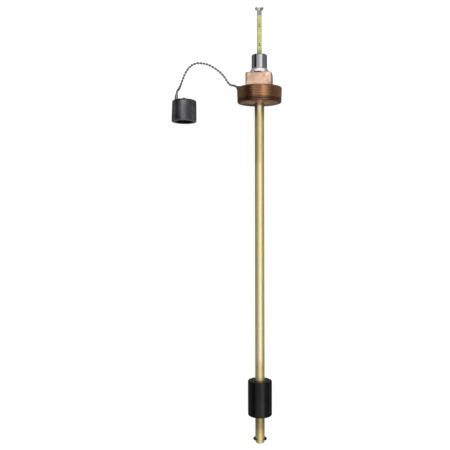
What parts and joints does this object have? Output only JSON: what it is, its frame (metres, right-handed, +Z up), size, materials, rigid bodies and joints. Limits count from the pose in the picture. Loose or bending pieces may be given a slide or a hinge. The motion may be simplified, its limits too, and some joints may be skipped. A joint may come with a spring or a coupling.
{
  "type": "tape level indicator",
  "caption": "Tank level indicator: a float on a closed brass stem moves a measuring tape by magnet, under a bronze screw-in plug, with a chained protective cap.",
  "frame": {"origin": "on the stem's axis, at the upper face of the plug's threaded disc", "axes": "+Y along the stem over the surface towards the tape's tab (the stem rises 1.8 degrees that way), +X to the right, +Z up from the surface it lies on"},
  "size_m": [0.1488, 0.5867, 0.0602],
  "materials": {
    "bronze": "cast bronze, darkened disc and bright machined head",
    "nickel": "polished nickel plate",
    "packing": "smooth white fluoropolymer",
    "brass": "drawn brass, satin",
    "spring_steel": "dark oxide",
    "guide_plastic": "satin black",
    "chain_steel": "dull nickel plate",
    "screw_steel": "satin",
    "cap_plastic": "satin charcoal grey",
    "float_rubber": "closed-cell rubber skin, satin black",
    "magnet": "plain sintered",
    "tape_paint": "yellow-green enamel with printed graduations",
    "clip_steel": "satin",
    "carrier_plastic": "satin"
  },
  "bodies": {
    "root": {"mounting_plug": "bronze", "top_fitting": "nickel", "stem_packing": "packing", "gland_washer": "brass", "stem_tube": "brass", "stem_end_plug": "brass", "stop_ring": "spring_steel", "tape_guide": "guide_plastic", "bead_chain": "chain_steel", "plug_eyelet": "chain_steel", "plug_screw": "screw_steel", "cap_eyelet": "chain_steel", "cap_screw": "screw_steel", "protective_cap": "cap_plastic"},
    "float": {"float_body": "float_rubber", "float_magnet": "magnet"},
    "tape": {"tape_blade": "tape_paint", "tape_clip": "clip_steel", "pull_tab": "clip_steel", "tape_rivets": "clip_steel", "magnet_holder": "carrier_plastic", "tape_magnet": "magnet", "holder_pin": "clip_steel"}
  },
  "joints": [
    {"name": "float_slide", "type": "slide", "parent": "root", "child": "float", "axis": [0, 0.9995, 0.0315], "range_m": [-0.0316, 0.37345]},
    {"name": "tape_slide", "type": "slide", "parent": "root", "child": "tape", "axis": [0, 0.9995, 0.0315], "range_m": [-0.0523, 0.43495]}
  ]
}
